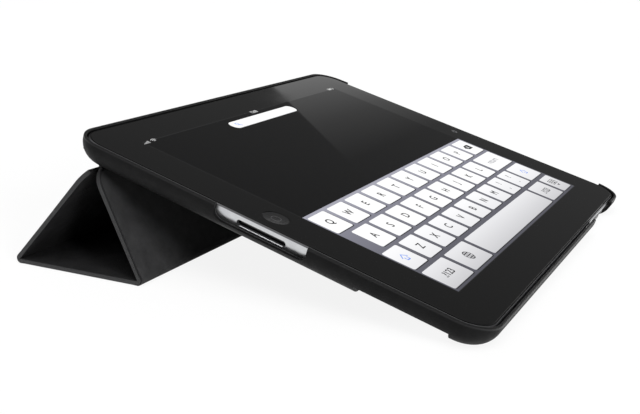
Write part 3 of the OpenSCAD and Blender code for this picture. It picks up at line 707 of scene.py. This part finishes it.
def corner_roll(name, fold_at, dir_a, dir_b, radius):
    """Soft laminate that bends round a fold: microfibre outside, leather inside."""
    turn, back, reach = roll_place(dir_a, dir_b, radius)
    outward = unit(dir_a + pi / 2 + turn / 2)
    centre = fold_at - outward * back * MM
    da, db = unit(dir_a), unit(dir_b)
    na, nb = unit(dir_a + pi / 2), unit(dir_b + pi / 2)

    def path(r, n=14):
        ends = [(reach + TUCK * i / 4, (HALF_T - radius + r - TUCK_DIP * i / 4) * MM)
                for i in range(4, 0, -1)]
        return ([fold_at - da * e * MM + na * h for e, h in ends]
                + [centre + unit(dir_a + pi / 2 + turn * i / n) * r * MM for i in range(n + 1)]
                + [fold_at + db * e * MM + nb * h for e, h in reversed(ends)])

    def sheet(part, outer, inner, half, material):
        """One layer, whose bending is spread over nearly the whole width of the roll."""
        section = path(outer) + path(inner)[::-1]
        bm = bmesh.new()
        loft(bm, [[(x * MM, p.x, p.y) for p in section] for x in (-half, half)])
        piece = from_bmesh(name + part, bm, Matrix.Identity(4), 40)
        piece.data.materials.append(material)
        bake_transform(piece)

    middle = radius - ROLL_T / 2
    sheet("_microfibre", radius, middle, COVER_HALF - FACE_IN, SUEDE)
    sheet("_leather", middle - 0.01, radius - ROLL_T, COVER_HALF - 0.01, LEATHER)


len_1, len_2 = (FOLD_C - FOLD_B).length / MM, (FOLD_D - FOLD_C).length / MM
start_1 = extent("panel_1_leather", PANEL_1)[0].y
len_3 = extent("panel_3_leather", PANEL_3)[1].y
fold_c, fold_d = fold_end(DIR_1, DIR_2, ROLL_C), fold_end(DIR_2, DIR_3, ROLL_D)
panel("panel_1", "panel_1", PANEL_1, start_1, len_1, None, fold_c, 0, None,
      ["panel_1_leather", "panel_1_face"])
panel("panel_2", "panel_2", PANEL_2, 0, len_2, fold_c, fold_d, None, None,
      ["panel_2_leather", "panel_2_face"])
panel("panel_3", "panel_3", PANEL_3, 0, len_3, fold_d, None, None, len_3,
      ["panel_3_leather", "panel_3_face"])
corner_roll("fold_1", FOLD_C, DIR_1, DIR_2, ROLL_C)
corner_roll("fold_2", FOLD_D, DIR_2, DIR_3, ROLL_D)

# ---- Tablet: glass, gasket, chamfer, home button ----

home_low, home_high = extent("home_button", DEVICE)
HOME_X = (home_low.x + home_high.x) / 2
HOME_R, HOME_GAP = 5.6, 0.05


def touch_glass():
    """Glass plate with a rounded edge and the hole for the home button."""
    edge, bevel, r = 0.35, 0.06, HOME_R + HOME_GAP
    side = [(-GLASS_IN, -GLASS_T)] + arc(-GLASS_IN - edge, -edge, edge, 0, 90, 5)
    hole = [(r, -GLASS_T), (r, -bevel), (r + bevel, 0.0)]
    bm = bmesh.new()
    rows = loft(bm, [at_height(outline(g), z) for g, z in side], caps=False)
    wall = loft(bm, [at_height(circle(HOME_X, MID_Y, g), z) for g, z in hole], caps=False)
    # Back and front face, each with the button's hole
    for outer_row, inner_row in ((rows[0], wall[0]), (rows[-1], wall[-1])):
        edges = [e for row in (outer_row, inner_row) for e in
                 {bm.edges.get((row[i], row[(i + 1) % len(row)])) for i in range(len(row))}]
        bmesh.ops.triangle_fill(bm, use_beauty=True, use_dissolve=False, edges=edges)
    finish_piece(from_bmesh("glass_plate", bm), "tablet", GLASS, ["touch_glass"])


def closed_sweep(name, section, material, replaces=()):
    """Ring of a (growth, height) section round the tablet's outline."""
    bm = bmesh.new()
    loft(bm, [at_height(outline(g), z) for g, z in section], closed=True)
    finish_piece(from_bmesh(name, bm), "tablet", material, replaces)


touch_glass()
closed_sweep("edge_gasket", [(-0.62, -GLASS_T), (-0.62, -0.5), (-0.7, -0.42), (-0.86, -0.42),
                             (-0.88, -0.5), (-0.88, -GLASS_T)], GASKET, ["glass_gasket"])
closed_sweep("housing_chamfer", [(-0.02, -GLASS_T), (-0.02, -0.86), (-0.1, -0.74),
                                 (-0.42, -0.46), (-0.55, -0.42), (-0.6, -0.5),
                                 (-0.6, -GLASS_T)], SHADED_CHAMFER_METAL)


def dock_slot_highlight():
    """Bright edge right under the dock connector's slot, on the curve of the housing: a real edge,
    with its brightness painted on as a light grey, non-metal highlight.
    """
    surface = RIGHT_X - EDGE_R + sqrt(EDGE_R ** 2 - (DOCK_SLOT_LOW - ARC_Z) ** 2)
    low, high = DOCK_SLOT_LOW - 0.45, DOCK_SLOT_LOW - 0.02
    section = ((surface - 0.7, low), (surface - 0.15, low), (surface + 0.1, high - 0.12),
               (surface + 0.05, high), (surface - 0.7, high))
    bm = bmesh.new()
    loft(bm, [[(-x, MID_Y + side * DOCK_SLOT_HALF, z) for x, z in section] for side in (-1, 1)])
    finish_piece(from_bmesh("dock_slot_highlight", bm), "tablet", DOCK_HIGHLIGHT_PAINT)


dock_slot_highlight()
DISH, FLANGE = 0.22, 0.95  # depth of the button's hollow, width of its flange
dish = [(HOME_R - 0.3 - (HOME_R - 0.35) * i / 12,
         home_high.z - 0.02 - DISH * (1 - (1 - i / 12) ** 2)) for i in range(13)]


def home_cap():
    """Dished button with a flange under the glass."""
    low, high = home_low.z, home_high.z
    side = [(HOME_R + FLANGE, low), (HOME_R + FLANGE, low + 0.38), (HOME_R, low + 0.4),
            (HOME_R, high - 0.15), (HOME_R - 0.05, high - 0.05), (HOME_R - 0.15, high)]
    bm = bmesh.new()
    loft(bm, [at_height(circle(HOME_X, MID_Y, r), z) for r, z in side + dish])
    finish_piece(from_bmesh("home_button_cap", bm), "home_button", HOME_PAINT,
                 ["home_button"])


def home_ring():
    """Plain raised line in the middle of the home button."""
    r, w, z = 1.9, 0.34, dish[8][1] + 0.02
    bm = bmesh.new()
    loft(bm, [at_height(circle(HOME_X, MID_Y, g, 40), h) for g, h in
              ((r, z - 0.1), (r, z), (r + 0.06, z + 0.03), (r + w - 0.06, z + 0.03),
               (r + w, z), (r + w, z - 0.1))], closed=True)
    finish_piece(from_bmesh("home_button_ring", bm), "home_button", RING_PAINT)


home_cap()
home_ring()

# ---- Screen picture: a plain keyboard, a search field and status marks ----

# Places on the screen are (u, v): millimetres from the left end and from the front edge
SCREEN_U0, SCREEN_U1, SCREEN_V0, SCREEN_V1 = 22.0, 219.2, 18.9, 166.8
KEYS_TOP = 86.7
LAYER = 0.012  # each layer of the picture lies this much above the one before


def lit(name, stops, rough=0.02, spec=0.5, base=0.01):
    """Glass-covered picture: it glows by itself, with a gradient from the front to the back."""
    p = Paint(name, grey(base), rough, specular_ior_level=spec)
    p.shader.inputs["Emission Strength"].default_value = 1.0
    split = p.node("ShaderNodeSeparateXYZ")
    generated = p.nodes["Texture Coordinate"].outputs["Generated"]
    p.links.new(generated, split.inputs["Vector"])
    soft = p.noise(40, 2)
    waver = p.maths("MULTIPLY", p.maths("SUBTRACT", soft, 0.5), 0.01)
    along = p.maths("ADD", split.outputs["Y"], waver)
    p.drive("Emission Color", p.ramp(along, stops))
    return p.mat


def device_text(text, size, u, v, z, bold=0.1):
    """Word as a flat mesh, made bolder by laying moved copies over it."""
    x, y = u - RIGHT_X, v
    curve = bpy.data.curves.new("word", "FONT")
    curve.body, curve.size = text, size
    curve.align_x, curve.align_y = "CENTER", "CENTER"
    curve.resolution_u = 4
    obj = bpy.data.objects.new("word", curve)
    bpy.context.scene.collection.objects.link(obj)
    bpy.context.view_layer.update()
    graph = bpy.context.evaluated_depsgraph_get()
    mesh = bpy.data.meshes.new_from_object(obj.evaluated_get(graph))
    bpy.data.objects.remove(obj)
    ends = [f(v.co.y for v in mesh.vertices) for f in (min, max)]
    mesh.transform(Matrix.Translation((x, y - sum(ends) / 2, z)))
    bm = bmesh.new()
    for dx, dy in ((0, 0), *((a * bold, b * bold / 2) for a, b in
                             ((-1, -1), (1, -1), (1, 1), (-1, 1)))):
        copy = mesh.copy()
        copy.transform(Matrix.Translation((dx, dy, 0)))
        bm.from_mesh(copy)
        bpy.data.meshes.remove(copy)
    bm.to_mesh(mesh)
    bm.free()
    return mesh


def picture(name, polygons, z, material, extra=()):
    """One flat mesh made of (u, v) polygons in the tablet's own measures."""
    bm = bmesh.new()
    for points in polygons:
        bm.faces.new([bm.verts.new((u - RIGHT_X, v, z)) for u, v in points])
    for mesh in extra:
        bm.from_mesh(mesh)
        bpy.data.meshes.remove(mesh)
    bmesh.ops.recalc_face_normals(bm, faces=bm.faces)
    for f in bm.faces:
        if f.normal.z < 0:
            f.normal_flip()
    finish_piece(new_object(name, mesh_from(name, bm), DEVICE), "tablet", material)


# Front and back edge of each row of keys
ROW_1, ROW_2, ROW_3, ROW_4 = (70.6, 85.0), (53.9, 68.3), (37.2, 51.6), (20.5, 34.6)
# Row, left edge of its first letter key, pitch, width of a key, letters
LETTER_ROWS = (
    (ROW_1, 22.9, 17.94, 14.9, "QWERTYUIOP"),
    (ROW_2, 30.1, 17.70, 14.9, "ASDFGHJKL"),
    (ROW_3, 40.4, 17.42, 14.6, "ZXCVBNM"),
)
KEYS_LEFT, KEYS_RIGHT = 22.9, 218.0
LETTER_SIZE, SIGN_SIZE, DIGITS_SIZE, CLOCK_SIZE = 5.4, 4.6, 4.7, 3.0
keys, words = [], []


def key(u0, u1, row):
    """Adds a key and gives its middle."""
    keys.append((u0, u1, *row))
    return (u0 + u1) / 2, sum(row) / 2


for row, first, pitch, width, letters in LETTER_ROWS:
    for i, letter in enumerate(letters):
        at = key(first + i * pitch, first + i * pitch + width, row)
        words.append((letter, LETTER_SIZE, *at))
back_u, back_v = key(202.5, KEYS_RIGHT, ROW_1)
return_at = key(190.1, KEYS_RIGHT, ROW_2)
shift_at = [key(KEYS_LEFT, 37.5, ROW_3), key(197.5, KEYS_RIGHT, ROW_3)]
comma_at = key(162.5, 177.2, ROW_3)
stop_at = key(179.8, 194.8, ROW_3)
digits_at = [key(KEYS_LEFT, 46.2, ROW_4)]
globe_at = key(48.9, 72.2, ROW_4)
key(75.0, 177.0, ROW_4)
digits_at.append(key(179.8, 200.2, ROW_4))
hide_u, hide_v = key(203.1, KEYS_RIGHT, ROW_4)
words += [(".?123", DIGITS_SIZE, *at) for at in digits_at]
for (u, v), upper, lower in ((comma_at, "!", ","), (stop_at, "?", ".")):
    words += [(upper, SIGN_SIZE, u, v + 3), (lower, SIGN_SIZE, u, v - 3.6)]


def band(outer, inner):
    """Quads between two closed outlines of equal length."""
    n = len(outer)
    return [[outer[i], outer[(i + 1) % n], inner[(i + 1) % n], inner[i]] for i in range(n)]


def stroke(points, width):
    """Band just inside a closed outline, as quads."""
    n = len(points)
    cx, cy = (sum(p[i] for p in points) / n for i in (0, 1))
    inner = []
    for x, y in points:
        d = hypot(x - cx, y - cy)
        inner.append((cx + (x - cx) * (d - width) / d, cy + (y - cy) * (d - width) / d))
    return band(points, inner)


def shift_arrow(u, v, s=0.9):
    shape = [(0, 2.6), (3.2, -0.2), (1.5, -0.2), (1.5, -2.4), (-1.5, -2.4), (-1.5, -0.2),
             (-3.2, -0.2)]
    return stroke([(u + x * s, v + y * s) for x, y in shape], 0.7)


def rect(u, v, w, h):
    return [(u + a * w / 2, v + b * h / 2) for a, b in ((-1, -1), (1, -1), (1, 1), (-1, 1))]


def globe(u, v, r=2.9, line=0.4):
    """Circle with one oval meridian, a straight one and three parallels."""
    meridian = [(u + (x - u) * 0.5, y) for x, y in circle(u, v, r, 32)]
    narrow = [(u + (x - u) * 0.72, y) for x, y in meridian]
    parallels = [rect(u, v + dv, 2 * half, line)
                 for dv, half in ((0, r), (r * 0.5, r * 0.86), (-r * 0.5, r * 0.86))]
    return (stroke(circle(u, v, r, 32), 0.42) + band(meridian, narrow) + parallels
            + [rect(u, v, line, 2 * r)])


def erase_arrow(u, v):
    return [[(u - 4.4, v), (u - 1.8, v + 2.1), (u + 3.6, v + 2.1), (u + 3.6, v - 2.1),
             (u - 1.8, v - 2.1)]]


def erase_cross(u, v, half=1.1, line=0.25):
    u -= 0.2
    return [[(u + a * half - line, v + half), (u + a * half + line, v + half),
             (u - a * half + line, v - half), (u - a * half - line, v - half)] for a in (-1, 1)]


def hide_mark(u, v):
    """Small keyboard with an arrow under it."""
    case = stroke(plan(u - 3.8, u + 3.8, v - 0.7, v + 3.5, 0.5, n=3), 0.55)
    dots = [rect(u - 2.4 + 1.2 * i, v + 2.3 - j, 0.75, 0.65) for i in range(5) for j in range(2)]
    return case + dots + [rect(u, v + 0.2, 3.6, 0.55),
                          [(u - 1.5, v - 1.6), (u, v - 3.1), (u + 1.5, v - 1.6)]]


def status_shapes():
    """Signal bars and a fan of radio waves on the left, a battery on the right."""
    shapes = [rect(21.4 + i, 165.4 + 0.18 * i, 0.6, 0.5 + 0.36 * i) for i in range(5)]
    for r in (0.7, 1.5, 2.3):
        shapes.append([(29.6 + (r + d) * cos(radians(a)), 165.0 + (r + d) * sin(radians(a)))
                       for d, angles in ((0, range(45, 136, 15)), (0.4, range(135, 44, -15)))
                       for a in angles])
    shapes += stroke(plan(211.5, 217.3, 166.2, 168.4, 0.4, n=3), 0.35)
    return shapes + [rect(213.8, 167.3, 3.4, 1.2), rect(217.9, 167.3, 0.5, 1.0)]


marks = globe(*globe_at) + erase_arrow(back_u, back_v) + hide_mark(hide_u, hide_v)

PICTURE_BLACK = lit("screen_black_paint", ((0.0, grey(0.0020)), (1.0, grey(0.0026))),
                    spec=0.12, base=0.003)
EDGE_LINE = lit("display_edge_paint", ((0.0, grey(0.010)), (1.0, grey(0.012))))
CAMERA_WINDOW = moulded("camera_window_paint", grey(0.11), grey(0.13), 0.15, depth=0.0)
KEY_WHITE = lit("key_white_paint", ((0.0, (0.60, 0.60, 0.62)), (0.2, (0.80, 0.80, 0.82)),
                                    (0.25, (0.82, 0.82, 0.84)), (0.45, (0.95, 0.95, 0.965)),
                                    (0.6, (1.0, 1.0, 1.0))))
KEY_BACK = lit("key_back_paint", ((0.0, (0.075, 0.075, 0.095)), (0.3, (0.11, 0.11, 0.135)),
                                  (0.75, (0.22, 0.22, 0.27)), (1.0, (0.38, 0.38, 0.45))))
KEY_SHADE = lit("key_shade_paint", ((0.0, (0.02, 0.02, 0.024)), (1.0, (0.04, 0.04, 0.05))))
LEGEND = lit("legend_paint", ((0.0, (0.015, 0.015, 0.018)), (1.0, (0.02, 0.02, 0.022))))
FAINT = lit("faint_legend_paint", ((0.0, (0.36, 0.36, 0.38)), (1.0, (0.4, 0.4, 0.42))))
BLUE = lit("blue_mark_paint", ((0.0, (0.16, 0.30, 0.85)), (1.0, (0.2, 0.36, 0.9))))
WHITE = lit("white_mark_paint", ((0.0, (0.96, 0.96, 0.97)), (1.0, (1.0, 1.0, 1.0))))
DIM = lit("status_mark_paint", ((0.0, (0.5, 0.5, 0.5)), (1.0, (0.6, 0.6, 0.6))))

# Heights of the picture's layers, from the glass up
ON_GLASS, LOW, SHADOW, TOP, MARK, OVER = (LAYER * i for i in range(1, 7))
FRAME_W = 0.3
SCREEN_U, SCREEN_W = (SCREEN_U0 + SCREEN_U1) / 2, SCREEN_U1 - SCREEN_U0
screen = rect(SCREEN_U, (SCREEN_V0 + SCREEN_V1) / 2, SCREEN_W, SCREEN_V1 - SCREEN_V0)
framed = rect(SCREEN_U, (SCREEN_V0 + SCREEN_V1) / 2, SCREEN_W + 2 * FRAME_W,
              SCREEN_V1 - SCREEN_V0 + 2 * FRAME_W)
picture("screen", [screen], ON_GLASS, PICTURE_BLACK)
picture("display_edge", band(screen, framed), ON_GLASS, EDGE_LINE)
camera_low, camera_high = extent("front_camera", DEVICE)
camera_u = (camera_low.x + camera_high.x) / 2 + RIGHT_X
camera_v = (camera_low.y + camera_high.y) / 2
picture("camera_window", [circle(camera_u, camera_v, 1.7, 40)], ON_GLASS, CAMERA_WINDOW)
picture("camera_pupil", [circle(camera_u, camera_v, 0.7, 24)], LOW, LENS)
picture("keyboard_back", [rect(SCREEN_U, (SCREEN_V0 + KEYS_TOP) / 2, SCREEN_W,
                               KEYS_TOP - SCREEN_V0)], LOW, KEY_BACK)
picture("key_shadows", [plan(u0 + 0.15, u1 + 0.4, v0 - 0.55, v1 - 0.4, 1.1, n=4)
                        for u0, u1, v0, v1 in keys], SHADOW, KEY_SHADE)
picture("keys", [plan(u0, u1, v0, v1, 1.0, n=4) for u0, u1, v0, v1 in keys], TOP, KEY_WHITE)
picture("key_legends", marks, MARK, LEGEND,
        [device_text(t, size, u, v, MARK) for t, size, u, v in words])
picture("key_marks_white", erase_cross(back_u, back_v), OVER, WHITE)
picture("key_legend_faint", [], MARK, FAINT,
        [device_text("return", LETTER_SIZE, *return_at, MARK)])
picture("key_marks_blue", [q for at in shift_at for q in shift_arrow(*at)], MARK, BLUE)
picture("search_field", [plan(86.6, 152.3, 156.4, 163.3, 3.4)], SHADOW, WHITE)
picture("search_mark", stroke(circle(92.4, 160.3, 1.3, 20), 0.45)
        + [[(93.1, 159.2), (93.5, 159.5), (94.6, 158.3), (94.2, 158.0)]], TOP, BLUE)
picture("status_marks", status_shapes(), SHADOW, DIM,
        [device_text("12:00", CLOCK_SIZE, 119.6, 166.4, SHADOW)])

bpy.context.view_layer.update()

# ---- Stage ----

FLOOR_R = 30.0
WHITE_SHARE = 0.88


def floor():
    """Pale floor. Seen directly or in a reflection it is nearer white, and keeps the shadow."""
    bm = bmesh.new()
    bm.faces.new([bm.verts.new((x, y, 0)) for x, y in circle(0, 0, FLOOR_R)])
    obj = new_object("floor", mesh_from("floor", bm), Matrix.Identity(4))
    p = Paint("floor_paint", (0.95, 0.95, 0.95), 0.9, specular_ior_level=0.0)
    p.drive("Base Color", p.ramp(p.noise(3, 2), ((0.3, 0.945), (0.7, 0.955))))
    path, glow = p.nodes.new("ShaderNodeLightPath"), p.nodes.new("ShaderNodeEmission")
    mix = p.nodes.new("ShaderNodeMixShader")
    seen = p.maths("MAXIMUM", p.maths("MAXIMUM", path.outputs["Is Camera Ray"],
                                      path.outputs["Is Glossy Ray"]),
                   path.outputs["Is Transmission Ray"])
    p.links.new(p.maths("MULTIPLY", seen, WHITE_SHARE), mix.inputs["Fac"])
    p.links.new(p.shader.outputs["BSDF"], mix.inputs[1])
    p.links.new(glow.outputs["Emission"], mix.inputs[2])
    p.links.new(mix.outputs["Shader"], p.nodes["Material Output"].inputs["Surface"])
    obj.data.materials.append(p.mat)


floor()

# ---- Camera, fitted to the photograph's edges, and light ----

# Place in metres, directions, and lens and middle of the picture in pixels
CAMERA_AT = Vector((-0.44718, -0.19598, 0.13794))
CAMERA_RIGHT = Vector((0.50647, -0.86225, -0.00463))
CAMERA_UP = Vector((0.20768, 0.11677, 0.97120))
IMAGE_W, IMAGE_H = 640, 414
FOCAL_PX, CENTRE_X, CENTRE_Y = 1005.2, 227.4, 196.2
cam_data = bpy.data.cameras.new("camera")
cam = bpy.data.objects.new("camera", cam_data)
bpy.context.scene.collection.objects.link(cam)
back = CAMERA_RIGHT.cross(CAMERA_UP).normalized()
cam.matrix_world = Matrix((
    (CAMERA_RIGHT.x, CAMERA_UP.x, back.x, CAMERA_AT.x),
    (CAMERA_RIGHT.y, CAMERA_UP.y, back.y, CAMERA_AT.y),
    (CAMERA_RIGHT.z, CAMERA_UP.z, back.z, CAMERA_AT.z), (0, 0, 0, 1)))
cam_data.sensor_width = 36
cam_data.lens = FOCAL_PX / IMAGE_W * cam_data.sensor_width
cam_data.shift_x = (IMAGE_W / 2 - CENTRE_X) / IMAGE_W
cam_data.shift_y = (CENTRE_Y - IMAGE_H / 2) / IMAGE_W
cam_data.clip_start = 0.01
cam_data.clip_end = 100
bpy.context.scene.camera = cam
bpy.context.scene.view_settings.view_transform = "Standard"


def sky():
    """White at the horizon, dim above it and brighter overhead. The camera sees plain white."""
    world = bpy.data.worlds.new("world")
    bpy.context.scene.world = world
    world.use_nodes = True
    nodes, links = world.node_tree.nodes, world.node_tree.links
    coords = nodes.new("ShaderNodeTexCoord")
    split = nodes.new("ShaderNodeSeparateXYZ")
    ramp = nodes.new("ShaderNodeValToRGB")
    links.new(coords.outputs["Generated"], split.inputs["Vector"])
    links.new(split.outputs["Z"], ramp.inputs["Fac"])
    # (sine of the height above the horizon, brightness)
    stops = ((0.0, 1.0), (0.06, 1.0), (0.17, 0.115), (0.6, 0.115), (0.8, 0.4), (1.0, 0.5))
    set_stops(ramp, stops)
    from_camera = nodes.new("ShaderNodeLightPath").outputs["Is Camera Ray"]
    seen = mix_colours(nodes, links, from_camera, ramp.outputs["Color"], (1, 1, 1))
    links.new(seen, nodes["Background"].inputs["Color"])


def sun(name, azimuth, elevation, strength, spread):
    """Soft lamp that lights the whole floor evenly. Glossy surfaces reflect only the sky."""
    data = bpy.data.lights.new(name, "SUN")
    data.energy, data.angle = strength, radians(spread)
    lamp = bpy.data.objects.new(name, data)
    bpy.context.scene.collection.objects.link(lamp)
    a, e = radians(azimuth), radians(elevation)
    towards = -Vector((cos(e) * cos(a), cos(e) * sin(a), sin(e)))
    lamp.rotation_euler = towards.to_track_quat("-Z", "Y").to_euler()
    lamp.visible_glossy = False


# Left end of the sheen's edge on the glass and its right one, as (u, v)
SHEEN = ((175.4, 186.0), (107.7, 104.5))
CARD_LOW, CARD_HIGH, CARD_FAR = 60.0, 330.0, 470.0
CARD_SCALE = 5.0  # how many times as far from the mirrored camera as the glass


def sheen_card():
    """Card whose reflection is the slanting sheen, seen from the mirrored camera."""
    (u0, v0), (u1, v1) = SHEEN
    slope = (u0 - u1) / (v0 - v1)
    ring = [(u0 + (CARD_LOW - v0) * slope, CARD_LOW), (CARD_FAR, CARD_LOW),
            (CARD_FAR, CARD_HIGH), (u0 + (CARD_HIGH - v0) * slope, CARD_HIGH)]
    eye = DEVICE.inverted() @ CAMERA_AT
    eye.z = -eye.z
    bm = bmesh.new()
    bm.faces.new([bm.verts.new(eye + (Vector((u - RIGHT_X, v, 0)) - eye) * CARD_SCALE)
                  for u, v in ring])
    obj = new_object("sheen_card", mesh_from("sheen_card", bm), DEVICE)
    obj.visible_camera = False
    obj.visible_diffuse = False
    obj.visible_shadow = False
    mat = bpy.data.materials.new("sheen_card_paint")
    mat.use_nodes = True
    nodes, links = mat.node_tree.nodes, mat.node_tree.links
    nodes.clear()
    coords, split = nodes.new("ShaderNodeTexCoord"), nodes.new("ShaderNodeSeparateXYZ")
    ramp, glow = nodes.new("ShaderNodeValToRGB"), nodes.new("ShaderNodeEmission")
    out = nodes.new("ShaderNodeOutputMaterial")
    links.new(coords.outputs["Generated"], split.inputs["Vector"])
    links.new(split.outputs["Y"], ramp.inputs["Fac"])
    links.new(ramp.outputs["Color"], glow.inputs["Color"])
    links.new(glow.outputs["Emission"], out.inputs["Surface"])
    glows = ((v1, 0.118), (139, 0.25), (166, 0.44), (v0, 0.56), (205, 0.6))
    set_stops(ramp, [((v - CARD_LOW) / (CARD_HIGH - CARD_LOW), b) for v, b in glows])
    obj.data.materials.append(mat)


sky()
sun("key_light", 205, 60, 2.0, 45)
sun("low_light", 242, 20, 2.5, 16)
sheen_card()
